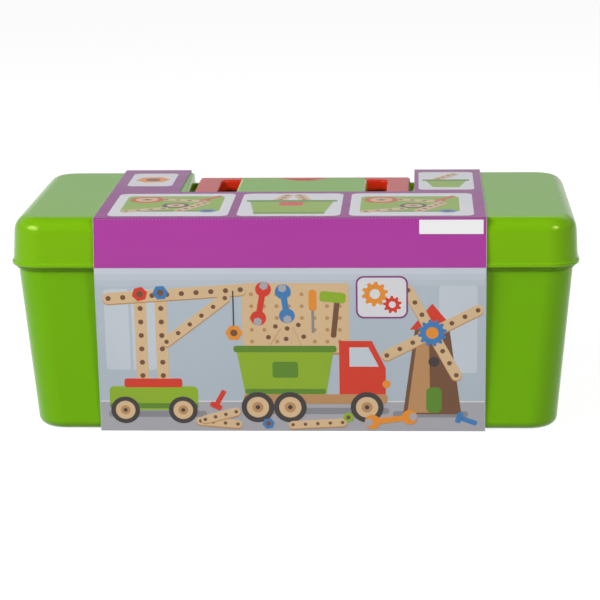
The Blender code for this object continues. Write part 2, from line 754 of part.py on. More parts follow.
def make_handle(material):
    """The carrying handle: a flat U whose legs end in round eyes with stubs."""
    handle = handle_frame(material)
    half = HANDLE_WIDTH / 2
    inner = half - HANDLE_LEG_WIDTH
    tip = half + CHANNEL_SIDE_CLEARANCE + WALL + HANDLE_STUB_SHOWING
    for side in (-1, 1):
        left, right = sorted((side * inner, side * half))
        eye = rod(
            "handle_eye", HANDLE_THICKNESS / 2, left, right, HANDLE_PIVOT_Y, HANDLE_PIVOT_Z, material
        )
        left, right = sorted((side * (half - SEAM), side * tip))
        stub = rod("handle_stub", HANDLE_STUB_RADIUS, left, right, HANDLE_PIVOT_Y, HANDLE_PIVOT_Z, material)
        add(handle, eye, stub)
    set_origin(handle, (0.0, HANDLE_PIVOT_Y, HANDLE_PIVOT_Z))
    return handle


def latch_lever_profile():
    """Side view of the latch's lower plate, parallel to the tub's tapered wall."""
    top_wall = tub_half(LATCH_Z)[1] + LATCH_WALL_CLEARANCE
    low_wall = tub_half(LATCH_BOTTOM)[1] + LATCH_WALL_CLEARANCE
    return [
        (-top_wall, LATCH_Z),
        (-(top_wall + LATCH_THICKNESS), LATCH_Z),
        (-(low_wall + LATCH_THICKNESS), LATCH_BOTTOM),
        (-low_wall, LATCH_BOTTOM),
    ]


def latch_arm_profile(bottom):
    """Side view of the latch's upper plate with its hook."""
    return [
        (-LATCH_ARM_INSIDE, bottom),
        (-LATCH_ARM_INSIDE, HOOK_UNDERSIDE),
        (-HOOK_TIP, HOOK_UNDERSIDE),
        (-HOOK_TIP, HOOK_UNDERSIDE + HOOK_TIP_HEIGHT),
        (-LATCH_ARM_INSIDE, LATCH_TOP),
        (-LATCH_ARM_OUTSIDE, LATCH_TOP),
        (-LATCH_ARM_OUTSIDE, bottom),
    ]


def plate_mask(name, half, bottom, top, rounds, material):
    """A front view that trims a plate's corners round."""
    corners = [(-half, bottom), (half, bottom), (half, top), (-half, top)]
    profile = outline(corners, rounds, 0.0, SMALL_STEPS)
    return prism_along_y(name, profile, -LIP_DEPTH, 0.0, material)


def make_latch(material):
    """The latch: a rocking plate with a hook above its pivot and a lever below it."""
    half = LATCH_WIDTH / 2
    arm_half = LATCH_ARM_WIDTH / 2
    step = PARTING_HEIGHT - LATCH_STEP_DROP
    round_end, plain = LATCH_CORNER_ROUND, GAP
    latch = prism_along_x("latch", latch_lever_profile(), -half, half, material)
    lever_top = step + LATCH_WIDTH
    lever_mask = plate_mask(
        "lever_mask", half, LATCH_BOTTOM, lever_top, [round_end, round_end, plain, plain], material
    )
    combine(latch, lever_mask, "INTERSECT")
    arm = prism_along_x("latch_arm", latch_arm_profile(LATCH_Z), -arm_half, arm_half, material)
    arm_bottom = LATCH_Z - LATCH_WIDTH
    arm_rounds = [plain, plain, LATCH_THICKNESS, LATCH_THICKNESS]
    arm_mask = plate_mask("arm_mask", arm_half, arm_bottom, LATCH_TOP, arm_rounds, material)
    combine(arm, arm_mask, "INTERSECT")
    shoulder = block(
        "latch_shoulder",
        (-half, -LATCH_ARM_OUTSIDE, LATCH_Z),
        (half, -LATCH_ARM_INSIDE, step),
        material,
    )
    barrel = rod("latch_barrel", LATCH_BARREL_RADIUS, -half, half, LATCH_Y, LATCH_Z, material)
    reach = EAR_OUTER - EAR_SIDE_CLEARANCE
    stubs = rod("latch_stubs", LATCH_STUB_RADIUS, -reach, reach, LATCH_Y, LATCH_Z, material)
    add(latch, shoulder, arm, barrel, stubs)
    set_origin(latch, (0.0, LATCH_Y, LATCH_Z))
    return latch


def sleeve_corners():
    """Side view of the card's outer face, counter-clockwise seen from the right."""
    top = LID_TOP + SLEEVE_TOP_EASE + CARD
    rim = LIP_DEPTH / 2 + SLEEVE_LIP_EASE + CARD
    top_edge = lid_half(LID_TOP)[1] + SLEEVE_EDGE_EASE + CARD
    foot_edge = tub_half(FOOT_HEIGHT)[1] + SLEEVE_EDGE_EASE + CARD
    return [
        (-foot_edge, 0.0),
        (foot_edge, 0.0),
        (rim, PARTING_HEIGHT - SLEEVE_BACK_STEP),
        (rim, PARTING_HEIGHT + SLEEVE_RIM_RISE),
        (top_edge, top),
        (-top_edge, top),
        (-rim, PARTING_HEIGHT + SLEEVE_RIM_RISE),
    ]


def make_sleeve(material):
    """The cardboard sleeve: one folded strip with a window for the handle."""
    corners = sleeve_corners()
    rounds = [SLEEVE_FOLD_ROUND] * len(corners)
    outer = outline(corners, rounds, 0.0, SMALL_STEPS)
    inner = outline(corners, rounds, -CARD, SMALL_STEPS)
    ends = (SLEEVE_LEFT, SLEEVE_RIGHT)
    outer_rings = [[(x, y, z) for y, z in outer] for x in ends]
    inner_rings = [[(x, y, z) for y, z in inner] for x in reversed(ends)]
    sleeve = tube("card_sleeve", outer_rings, inner_rings, material)
    window = block(
        "sleeve_window",
        (SLEEVE_OFFSET - WINDOW_WIDTH / 2, WINDOW_FRONT, LID_TOP - WINDOW_BACK_DROP),
        (SLEEVE_OFFSET + WINDOW_WIDTH / 2, LIP_DEPTH, LID_TOP + OVERRUN),
        material,
    )
    cut(sleeve, window)
    return sleeve


def make_label(material):
    """A blank label on the sloping upper part of the sleeve's front."""
    corners = sleeve_corners()
    top_corner, rim_corner = corners[5], corners[6]
    lean_y, lean_z = direction(top_corner, rim_corner)
    out_y, out_z = -abs(lean_z), abs(lean_y)
    right = SLEEVE_RIGHT - LABEL_EDGE_DISTANCE
    left = right - LABEL_WIDTH
    profile = []
    for lift, down in (
        (LABEL_GAP, LABEL_TOP_DISTANCE),
        (LABEL_GAP + LABEL_THICKNESS, LABEL_TOP_DISTANCE),
        (LABEL_GAP + LABEL_THICKNESS, LABEL_TOP_DISTANCE + LABEL_HEIGHT),
        (LABEL_GAP, LABEL_TOP_DISTANCE + LABEL_HEIGHT),
    ):
        y = top_corner[0] + lean_y * down + out_y * lift
        z = top_corner[1] + lean_z * down + out_z * lift
        profile.append((y, z))
    return prism_along_x("blank_label", profile, left, right, material)


def main():
    """Builds the whole tool box."""
    clear_scene()
    green = plastic("green_plastic", (0.19, 0.45, 0.012), 0.32)
    red = plastic("red_plastic", (0.62, 0.025, 0.010), 0.30)
    steel = plastic("steel", (0.55, 0.55, 0.56), 0.30, 1.0)
    card = plastic("printed_card", (0.40, 0.09, 0.33), 0.55)
    paper = plastic("white_paper", (0.86, 0.86, 0.86), 0.60)
    make_tub(green)
    make_lid(green)
    make_handle(red)
    make_latch(red)
    make_hinge_pin("hinge_pin_left", -HINGE_SPACING / 2, steel)
    make_hinge_pin("hinge_pin_right", HINGE_SPACING / 2, steel)
    make_sleeve(card)
    make_label(paper)


main()
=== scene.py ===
import math

import bmesh
import bpy
from mathutils import Matrix, Vector


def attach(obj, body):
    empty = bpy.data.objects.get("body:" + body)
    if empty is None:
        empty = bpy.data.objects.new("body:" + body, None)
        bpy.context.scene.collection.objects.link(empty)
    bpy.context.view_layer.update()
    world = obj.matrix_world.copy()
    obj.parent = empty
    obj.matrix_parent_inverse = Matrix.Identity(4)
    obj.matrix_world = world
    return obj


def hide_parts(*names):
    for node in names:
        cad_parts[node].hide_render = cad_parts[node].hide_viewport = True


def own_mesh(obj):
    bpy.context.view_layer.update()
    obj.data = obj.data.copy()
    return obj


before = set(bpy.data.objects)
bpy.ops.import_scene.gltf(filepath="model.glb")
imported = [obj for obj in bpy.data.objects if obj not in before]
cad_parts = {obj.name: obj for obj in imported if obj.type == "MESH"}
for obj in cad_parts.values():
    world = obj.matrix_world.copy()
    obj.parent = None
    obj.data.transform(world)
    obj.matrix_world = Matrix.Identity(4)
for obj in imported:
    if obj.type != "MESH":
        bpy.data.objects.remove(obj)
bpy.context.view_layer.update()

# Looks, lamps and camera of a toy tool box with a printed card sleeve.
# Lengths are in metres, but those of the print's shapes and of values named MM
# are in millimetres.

MM = 0.001

# Camera, fitted to the outlines in the photo; angles in degrees
CAMERA_PLACE = (0.072771, -1.500416, 0.385548)
CAMERA_PITCH_DOWN = 12.123
CAMERA_YAW_LEFT = 2.793
CAMERA_ROLL = -0.603
CAMERA_LENS_MM = 150.63
CAMERA_SENSOR_MM = 36.0
CAMERA_NEAR = 0.1
CAMERA_FAR = 20.0

# Joining and softening of the CAD meshes
WELD = 1e-6
FLAT_ANGLE = math.radians(0.4)
SHARP_ANGLE = math.radians(34)
SHELL_SOFTNESS = 0.0003
LATCH_SOFTNESS = 0.0002
SOFT_SEGMENTS = 2


def extent(node_name):
    """Lowest and highest corner of a CAD piece."""
    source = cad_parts[node_name]
    places = [source.matrix_world @ vertex.co for vertex in source.data.vertices]
    low = [min(place[axis] for place in places) for axis in range(3)]
    high = [max(place[axis] for place in places) for axis in range(3)]
    return low, high


# Card sleeve: its reach is the CAD piece's own. The side view is given as half
# depths from the middle and heights; behind, it drops straight to a step.
CARD_LOW, CARD_HIGH = extent("card_sleeve")
CARD_THICKNESS = 0.0005
SLEEVE_LEFT = CARD_LOW[0]
SLEEVE_RIGHT = CARD_HIGH[0]
SLEEVE_MIDDLE = (SLEEVE_LEFT + SLEEVE_RIGHT) / 2
SLEEVE_TOP = CARD_HIGH[2]
UNPRINTED_EDGE = 0.0002
FOOT_HALF_DEPTH = 0.074876
RIM_HALF_DEPTH = CARD_HIGH[1]
TOP_HALF_DEPTH = 0.086592
RIM_HEIGHT = 0.1010
STEP_HEIGHT = 0.0895
FRONT_FOOT = (-FOOT_HALF_DEPTH, 0.0)
FRONT_RIM = (-RIM_HALF_DEPTH, RIM_HEIGHT)
FRONT_TOP = (-TOP_HALF_DEPTH, SLEEVE_TOP)
BACK_TOP = (TOP_HALF_DEPTH, SLEEVE_TOP)
BACK_RIM = (RIM_HALF_DEPTH, RIM_HEIGHT)
BACK_STEP = (RIM_HALF_DEPTH, STEP_HEIGHT)
BACK_FOOT = (FOOT_HALF_DEPTH, 0.0)
FOLD_ROUND = 0.0012
FOLD_STEPS = 5

# Corners of the side view in order, each with the look of the panel after it
SLEEVE_CORNERS = (
    (FRONT_FOOT, "pale"),
    (FRONT_RIM, "purple"),
    # The top panel takes a darker copy of the purple ink: painted shade for the top.
    (FRONT_TOP, "purple_painted_shade"),
    (BACK_TOP, "purple"),
    (BACK_RIM, "pale"),
    (BACK_STEP, "pale"),
    (BACK_FOOT, "purple"),
)
SLEEVE_LOOKS = ("purple", "purple_painted_shade", "pale", "card_back", "card_cut")

# Window for the handle, over the card's back fold
WINDOW_HALF_WIDTH = 0.0714
WINDOW_LEFT = SLEEVE_MIDDLE - WINDOW_HALF_WIDTH
WINDOW_RIGHT = SLEEVE_MIDDLE + WINDOW_HALF_WIDTH
WINDOW_FRONT_Y = 0.0024
WINDOW_LOW_Z = 0.1111

# Places along the box where the card's mesh is divided; the window lies after
# the third one
SLEEVE_COLUMNS = (
    SLEEVE_LEFT,
    SLEEVE_LEFT + UNPRINTED_EDGE,
    WINDOW_LEFT,
    WINDOW_RIGHT,
    SLEEVE_RIGHT - UNPRINTED_EDGE,
    SLEEVE_RIGHT,
)
SLEEVE_FIELDS = len(SLEEVE_COLUMNS) - 1
WINDOW_FIELD = 2

# Finishes: what each one has unless it says otherwise, and the noise in them
PLAIN_LOOK = {
    "change": 0.04,
    "rough_spread": 0.04,
    "relief": 0.15,
    "shine": 0.4,
    "glint": (1.0, 1.0, 1.0),
    "metal": 0.0,
    "stretch": (1, 1, 1),
}
GREEN_LOOK = {"change": 0.012, "rough_spread": 0.006, "relief": 0.003, "glint": (1.0, 1.0, 0.30)}
RED_LOOK = {
    "change": 0.015, "rough_spread": 0.006, "relief": 0.003, "shine": 0.5, "glint": (1.0, 0.6, 0.5)
}
STEEL_LOOK = {"metal": 1.0, "stretch": (1, 6, 6)}
CARD_LOOK = {"relief": 0.4}
PAPER_LOOK = {"change": 0.012}
INK_LOOK = {"change": 0.015, "rough_spread": 0.015, "relief": 0.04, "shine": 0.5}
INK_ROUGH = 0.31
TOP_INK_LOOK = {**INK_LOOK, "shine": 0.8}
TOP_INK_ROUGH = 0.34
# The top's purple is the front's ink darkened by this share: painted shade, as the top gets less
# light.
TOP_INK_PAINTED_SHADE = 0.70
NOISE_LOW = 0.3
NOISE_HIGH = 0.7
PATCH_SCALE = 22.0
PATCH_DETAIL = 3.0
GLOSS_SCALE = 60.0
RELIEF_SCALE = 900.0
FINE_DETAIL = 2.0
RELIEF_DEPTH = 0.00005

# Sockets of the colour mix node, which have the same names as those for numbers
MIX_FIRST = 6
MIX_SECOND = 7
MIX_RESULT = 2

# Plastics, metal, card and paper: material name, display colour, roughness, look
FINISHES = {
    "lid": ("lid_green_plastic", (118, 180, 2), 0.23, GREEN_LOOK),
    "tub": ("tub_green_plastic", (111, 180, 0), 0.24, GREEN_LOOK),
    "red": ("red_plastic", (206, 40, 18), 0.24, RED_LOOK),
    "steel": ("steel_wire", (190, 190, 192), 0.30, STEEL_LOOK),
    "card_back": ("card_unprinted", (196, 190, 178), 0.80, CARD_LOOK),
    "card_cut": ("card_cut_edge", (206, 196, 204), 0.80, CARD_LOOK),
    "paper": ("label_paper", (244, 244, 244), 0.50, PAPER_LOOK),
}

# Display colours of the print
INKS = {
    "purple": (170, 52, 154),
    "deep_purple": (132, 44, 120),
    "lilac": (206, 128, 196),
    "pale": (185, 197, 208),
    "mist": (204, 212, 221),
    # The next three pales get lighter towards the rim fold: a painted highlight where the card
    # bends.
    "pale_highlight_low": (193, 202, 212),
    "pale_highlight_mid": (201, 208, 218),
    "pale_highlight_top": (210, 216, 227),
    "white": (228, 228, 232),
    "table": (173, 172, 178),
    "shade": (138, 138, 144),
    "oak": (222, 190, 146),
    "tan": (190, 142, 92),
    "brown": (112, 72, 44),
    "dark": (52, 44, 42),
    "leaf": (142, 178, 26),
    "moss": (88, 134, 22),
    "poppy": (216, 54, 28),
    "amber": (236, 146, 40),
    "sky": (58, 124, 184),
}

# Thin layers that the print on the card is made of
INK_BOTTOM = -0.01 * MM
INK_FIRST = 0.02 * MM
INK_STEP = 0.01 * MM

# Steps of the print's round shapes
CORNER_STEPS = 6
DISC_STEPS = 36
HEAD_STEPS = 24
HOLE_STEPS = 20
AXLE_STEPS = 18
PEG_HOLE_STEPS = 14
NUT_SIDES = 6

# Printed toy parts, in millimetres or as a share of their width or radius
BAR_WIDTH = 7.0
BAR_SHADE_DROP = 0.7
BAR_HOLE_SHARE = 0.22
WHEEL_HUB_SHARE = 0.68
WHEEL_NAVE_SHARE = 0.34
WHEEL_AXLE_SHARE = 0.14
NUT_HOLE_SHARE = 0.42
BOLT_SHAFT_WIDTH = 3.0
BOLT_SHAFT_ROUND = 0.8
BOLT_HEAD_LENGTH = 3.4
BOLT_HEAD_WIDTH = 7.0
BOLT_HEAD_ROUND = 1.0
SPANNER_WIDTH = 3.6
SPANNER_ROUND = 1.2
SPANNER_HEAD_RADIUS = 4.6
SPANNER_JAW_RADIUS = 2.6
SPANNER_JAW_REACH = 2.2
CRATE_LEAN = 5.0

# A cog's tooth: shares of its pitch, and whether the outline is at the tip there
TOOTH = ((0.0, False), (0.2, True), (0.5, True), (0.7, False))

# Large picture on the front: its middle, its widths and its heights
PICTURE_MIDDLE = 113
WALL_WIDTH = 225.2
WALL_TOP = 101.7
TABLE_WIDTH = 225
TABLE_MIDDLE = 9.6
TABLE_DEPTH = 18.4
TABLE_BACK = 19.0

# Studio: colour of the background at each upward share of the direction
WORLD_STEPS = (
    (0.00, (1.00, 1.00, 1.00)),
    (0.06, (0.90, 0.91, 0.93)),
    (0.15, (0.40, 0.43, 0.47)),
    (0.20, (0.51, 0.54, 0.59)),
    (0.27, (0.60, 0.62, 0.66)),
    (0.42, (0.74, 0.76, 0.80)),
    (0.56, (0.50, 0.51, 0.54)),
    (0.74, (0.20, 0.20, 0.22)),
)
WORLD_LIGHT_COLOUR = (0.97, 0.98, 1.00, 1)
WORLD_LIGHT_STRENGTH = 0.07

# Floor: its half width, the grey that lights the object, and as it is seen the
# grey that takes the shadow and the glow that makes it white
FLOOR_HALF = 4.0
FLOOR_GREY = 0.36
FLOOR_SHADOW_GREY = 0.24
FLOOR_GLOW = 0.91

# Softboxes: name, place, width and height, power in watts
LAMP_TARGET = (0.0, 0.0, 0.08)
LAMPS = (
    ("left_softbox", (-1.60, -1.38, 1.36), (1.40, 0.80), 51.0),
    ("right_softbox", (1.42, -1.53, 1.36), (0.50, 0.42), 18.5),
    ("top_softbox", (0.00, -0.95, 2.10), (3.40, 1.90), 7.0),
    ("back_softbox", (0.70, 1.60, 1.70), (1.60, 1.10), 4.0),
)


def linear(red, green, blue):
    """A display colour of 0 to 255 as linear light."""
    out = []
    for value in (red, green, blue):
        v = value / 255
        out.append(v / 12.92 if v <= 0.04045 else ((v + 0.055) / 1.055) ** 2.4)
    return (*out, 1.0)


def shaded(colour, share):
    """A linear colour made darker or lighter by a share."""
    return (*(min(1.0, c * share) for c in colour[:3]), 1.0)


def grey(level):
    """A linear grey."""
    return (level, level, level, 1)


def node(tree, kind, **values):
    """A new shader node with its sockets set."""
    made = tree.nodes.new(kind)
    for name, value in values.items():
        made.inputs[name.replace("_", " ")].default_value = value
    return made


def noise(tree, coordinates, scale, detail, stretch):
    """A noise texture in the object's own coordinates, stretched along an axis."""
    mapping = node(tree, "ShaderNodeMapping", Scale=stretch)
    texture = node(tree, "ShaderNodeTexNoise", Scale=scale, Detail=detail)
    tree.links.new(coordinates.outputs["Object"], mapping.inputs["Vector"])
    tree.links.new(mapping.outputs["Vector"], texture.inputs["Vector"])
    return texture


def spread(tree, texture, low, high):
    """The noise's value taken over to a range."""
    ranged = node(
        tree, "ShaderNodeMapRange",
        From_Min=NOISE_LOW, From_Max=NOISE_HIGH, To_Min=low, To_Max=high,
    )
    tree.links.new(texture.outputs["Fac"], ranged.inputs["Value"])
    return ranged.outputs["Result"]


def surface(name, colour, rough, **own_look):
    """A material with a little life in its colour, its gloss and its relief."""
    look = {**PLAIN_LOOK, **own_look}
    material = bpy.data.materials.new(name)
    material.use_nodes = True
    tree = material.node_tree
    shader = tree.nodes["Principled BSDF"]
    where = tree.nodes.new("ShaderNodeTexCoord")
    patches = noise(tree, where, PATCH_SCALE, PATCH_DETAIL, look["stretch"])
    mix = tree.nodes.new("ShaderNodeMix")
    mix.data_type = "RGBA"
    mix.inputs[MIX_FIRST].default_value = shaded(colour, 1 - look["change"])
    mix.inputs[MIX_SECOND].default_value = shaded(colour, 1 + look["change"])
    tree.links.new(spread(tree, patches, 0.0, 1.0), mix.inputs["Factor"])
    tree.links.new(mix.outputs[MIX_RESULT], shader.inputs["Base Color"])
    gloss = noise(tree, where, GLOSS_SCALE, FINE_DETAIL, look["stretch"])
    smoothest, roughest = rough - look["rough_spread"], rough + look["rough_spread"]
    tree.links.new(spread(tree, gloss, smoothest, roughest), shader.inputs["Roughness"])
    relief = noise(tree, where, RELIEF_SCALE, FINE_DETAIL, look["stretch"])
    bump = node(tree, "ShaderNodeBump", Strength=look["relief"], Distance=RELIEF_DEPTH)
    tree.links.new(relief.outputs["Fac"], bump.inputs["Height"])
    tree.links.new(bump.outputs["Normal"], shader.inputs["Normal"])
    shader.inputs["Metallic"].default_value = look["metal"]
    shader.inputs["Specular IOR Level"].default_value = look["shine"]
    shader.inputs["Specular Tint"].default_value = (*look["glint"], 1)
    return material


def make_materials():
    """All the finishes, by name."""
    made = {}
    for name, colour in INKS.items():
        made[name] = surface("ink_" + name, linear(*colour), INK_ROUGH, **INK_LOOK)
    # A darker copy of the purple for the top panel: painted shade.
    shade_painted_purple = shaded(linear(*INKS["purple"]), TOP_INK_PAINTED_SHADE)
    made["purple_painted_shade"] = surface("ink_purple_painted_shade", shade_painted_purple, TOP_INK_ROUGH, **TOP_INK_LOOK)
    for name, (title, colour, rough, look) in FINISHES.items():
        made[name] = surface(title, linear(*colour), rough, **look)
    return made


def placed(name, data):
    """A new object in the scene."""
    made = bpy.data.objects.new(name, data)
    bpy.context.scene.collection.objects.link(made)
    return made


def bind(piece, body, nodes=()):
    """Lets a piece move with a body and the CAD nodes it stands for."""
    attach(piece, body)
    if nodes:
        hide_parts(*nodes)


def smooth(mesh):
    """Smooth rounds and sharp corners."""
    mesh.shade_smooth()
    mesh.set_sharp_from_angle(angle=SHARP_ANGLE)


def joined_mesh(source, name):
    """The CAD mesh with its split faces joined and its flat faces made whole."""
    mesh = source.data.copy()
    mesh.name = name
    if "custom_normal" in mesh.attributes:
        mesh.attributes.remove(mesh.attributes["custom_normal"])
    work = bmesh.new()
    work.from_mesh(mesh)
    bmesh.ops.remove_doubles(work, verts=work.verts, dist=WELD)
    bmesh.ops.dissolve_limit(work, angle_limit=FLAT_ANGLE, verts=work.verts, edges=work.edges)
    work.to_mesh(mesh)
    work.free()
    smooth(mesh)
    return mesh


def soften(piece, softness):
    """Rounds the sharp edges of a piece a little."""
    bevel = piece.modifiers.new("soft_edges", "BEVEL")
    bevel.width = softness
    bevel.segments = SOFT_SEGMENTS
    bevel.limit_method = "ANGLE"
    bevel.angle_limit = SHARP_ANGLE


def dressed(node_name, name, body, material, softness=0.0):
    """A CAD piece with smooth rounds, softened edges and its own finish."""
    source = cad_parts[node_name]
    mesh = joined_mesh(source, name)
    mesh.materials.clear()
    mesh.materials.append(material)
    piece = placed(name, mesh)
    piece.matrix_world = source.matrix_world.copy()
    if softness:
        soften(piece, softness)
    normals = piece.modifiers.new("even_normals", "WEIGHTED_NORMAL")
    normals.keep_sharp = True
    bind(piece, body, (node_name,))
    return piece


def press_flat(piece):
    """Gives a card piece its own copy of its mesh."""
    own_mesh(piece)


def worked_mesh(work, name, looks, materials):
    """A mesh with its finishes from the work on it."""
    mesh = bpy.data.meshes.new(name)
    work.to_mesh(mesh)
    work.free()
    for look in looks:
        mesh.materials.append(materials[look])
    return mesh


def unit(start, end):
    """Direction between two points of the side view."""
    dy, dz = end[0] - start[0], end[1] - start[1]
    size = math.hypot(dy, dz)
    return dy / size, dz / size


def fold_stations(before, corner, after):
    """Pairs of outer and inner points round one fold of the card."""
    into = unit(before, corner)
    away = unit(corner, after)
    turn = math.acos(max(-1.0, min(1.0, into[0] * away[0] + into[1] * away[1])))
    reach = FOLD_ROUND * math.tan(turn / 2)
    out = (-into[1], into[0])
    start = (corner[0] - into[0] * reach, corner[1] - into[1] * reach)
    middle = (start[0] - out[0] * FOLD_ROUND, start[1] - out[1] * FOLD_ROUND)
    pairs = []
    for step in range(FOLD_STEPS + 1):
        angle = -turn * step / FOLD_STEPS
        ray = (
            out[0] * math.cos(angle) - out[1] * math.sin(angle),
            out[0] * math.sin(angle) + out[1] * math.cos(angle),
        )
        pairs.append(tuple(
            (middle[0] + ray[0] * radius, middle[1] + ray[1] * radius)
            for radius in (FOLD_ROUND, FOLD_ROUND - CARD_THICKNESS)
        ))
    return pairs


def flat_station(start, end, share):
    """Outer and inner point on a flat panel of the card."""
    along = unit(start, end)
    y = start[0] + (end[0] - start[0]) * share
    z = start[1] + (end[1] - start[1]) * share
    return (y, z), (y + along[1] * CARD_THICKNESS, z - along[0] * CARD_THICKNESS)


def sleeve_stations():
    """The card's side view, from the front foot over the top to the back and below.

    Each station has its outer and inner point, the look of the card after it, and
    whether the window is open after it.
    """
    stations = []
    for index, (corner, look) in enumerate(SLEEVE_CORNERS):
        before = SLEEVE_CORNERS[index - 1][0]
        after = SLEEVE_CORNERS[(index + 1) % len(SLEEVE_CORNERS)][0]
        for pair in fold_stations(before, corner, after):
            stations.append((pair, look, corner == BACK_TOP))
        if corner == FRONT_TOP:
            share = (WINDOW_FRONT_Y - corner[0]) / (after[0] - corner[0])
            stations.append((flat_station(corner, after, share), look, True))
        if corner == BACK_TOP:
            share = (WINDOW_LOW_Z - corner[1]) / (after[1] - corner[1])
            stations.append((flat_station(corner, after, share), look, False))
    return stations


def is_card(stations, i, j):
    """Whether there is card after station i in field j."""
    window = j == WINDOW_FIELD and stations[i % len(stations)][2]
    return 0 <= j < SLEEVE_FIELDS and not window


def card_faces(stations, outer, inner, i, j):
    """The faces of one field of the card, each one with its look."""
    n = (i + 1) % len(stations)
    at_side = j in (0, SLEEVE_FIELDS - 1)
    look = "card_cut" if at_side else stations[i][1]
    faces = [
        (look, (outer[i][j], outer[i][j + 1], outer[n][j + 1], outer[n][j])),
        ("card_back", (inner[i][j], inner[n][j], inner[n][j + 1], inner[i][j + 1])),
    ]
    cuts = (
        (i, j - 1, (outer[i][j], outer[n][j], inner[n][j], inner[i][j])),
        (i, j + 1, (outer[i][j + 1], inner[i][j + 1], inner[n][j + 1], outer[n][j + 1])),
        (i - 1, j, (outer[i][j], inner[i][j], inner[i][j + 1], outer[i][j + 1])),
        (i + 1, j, (outer[n][j], outer[n][j + 1], inner[n][j + 1], inner[n][j])),
    )
    faces += [("card_cut", cut) for row, field, cut in cuts if not is_card(stations, row, field)]
    return faces


def sleeve_mesh(materials):
    """The card sleeve: a closed strip of card with a window for the handle."""
    stations = sleeve_stations()
    work = bmesh.new()
    outer, inner = (
        [[work.verts.new((x, *pair[side])) for x in SLEEVE_COLUMNS] for pair, _, _ in stations]
        for side in (0, 1)
    )
    for i in range(len(stations)):
        for j in range(SLEEVE_FIELDS):
            if not is_card(stations, i, j):
                continue
            for look, corners in card_faces(stations, outer, inner, i, j):
                work.faces.new(corners).material_index = SLEEVE_LOOKS.index(look)
    loose = [v for v in work.verts if not v.link_faces]
    bmesh.ops.delete(work, geom=loose, context="VERTS")
    bmesh.ops.recalc_face_normals(work, faces=work.faces)
    mesh = worked_mesh(work, "printed_sleeve", SLEEVE_LOOKS, materials)
    smooth(mesh)
    return mesh


# Print: shapes in millimetres on a flat panel of the card. The first number
# of a place runs to the right, the second one up, as the panel is looked at.

def panel(foot, head, from_behind=False):
    """A flat panel of the card between two folds."""
    along = unit(foot, head)
    sign = -1 if from_behind else 1
    return {
        "foot": foot,
        "along": along,
        "out": (-along[1] * sign, along[0] * sign),
        "edge": SLEEVE_RIGHT if from_behind else SLEEVE_LEFT,
        "sign": sign,
    }


def on_panel(where, place, lift):
    """A point of the print in the row frame."""
    u, w = place[0] * MM, place[1] * MM
    return Vector((
        where["edge"] + where["sign"] * u,
        where["foot"][0] + where["along"][0] * w + where["out"][0] * lift,
        where["foot"][1] + where["along"][1] * w + where["out"][1] * lift,
    ))


def turned(points, centre, degrees):
    """Points turned about a centre and moved there."""
    c, s = math.cos(math.radians(degrees)), math.sin(math.radians(degrees))
    return [(centre[0] + x * c - y * s, centre[1] + x * s + y * c) for x, y in points]


def oblong(centre, width, height, rounding=0.0, degrees=0.0):
    """A rectangle with rounded corners."""
    half_w, half_h = width / 2, height / 2
    if rounding <= 0:
        points = [(-half_w, -half_h), (half_w, -half_h), (half_w, half_h), (-half_w, half_h)]
        return turned(points, centre, degrees)
    rounding = min(rounding, half_w, half_h)
    points = []
    for quarter, (sx, sy) in enumerate(((1, -1), (1, 1), (-1, 1), (-1, -1))):
        for step in range(CORNER_STEPS + 1):
            angle = math.radians(90 * (quarter - 1) + 90 / CORNER_STEPS * step)
            points.append((
                sx * (half_w - rounding) + rounding * math.cos(angle),
                sy * (half_h - rounding) + rounding * math.sin(angle),
            ))
    return turned(points, centre, degrees)


def disc(centre, radius, steps=DISC_STEPS):
    """A round shape, or a regular one with few steps."""
    return [
        (centre[0] + radius * math.cos(2 * math.pi * k / steps),
         centre[1] + radius * math.sin(2 * math.pi * k / steps))
        for k in range(steps)
    ]


def cog(centre, radius, teeth, depth):
    """A toothed wheel."""
    points = []
    for tooth in range(teeth):
        for share, at_tip in TOOTH:
            angle = 2 * math.pi * (tooth + share) / teeth
            r = radius if at_tip else radius - depth
            points.append((centre[0] + r * math.cos(angle), centre[1] + r * math.sin(angle)))
    return points


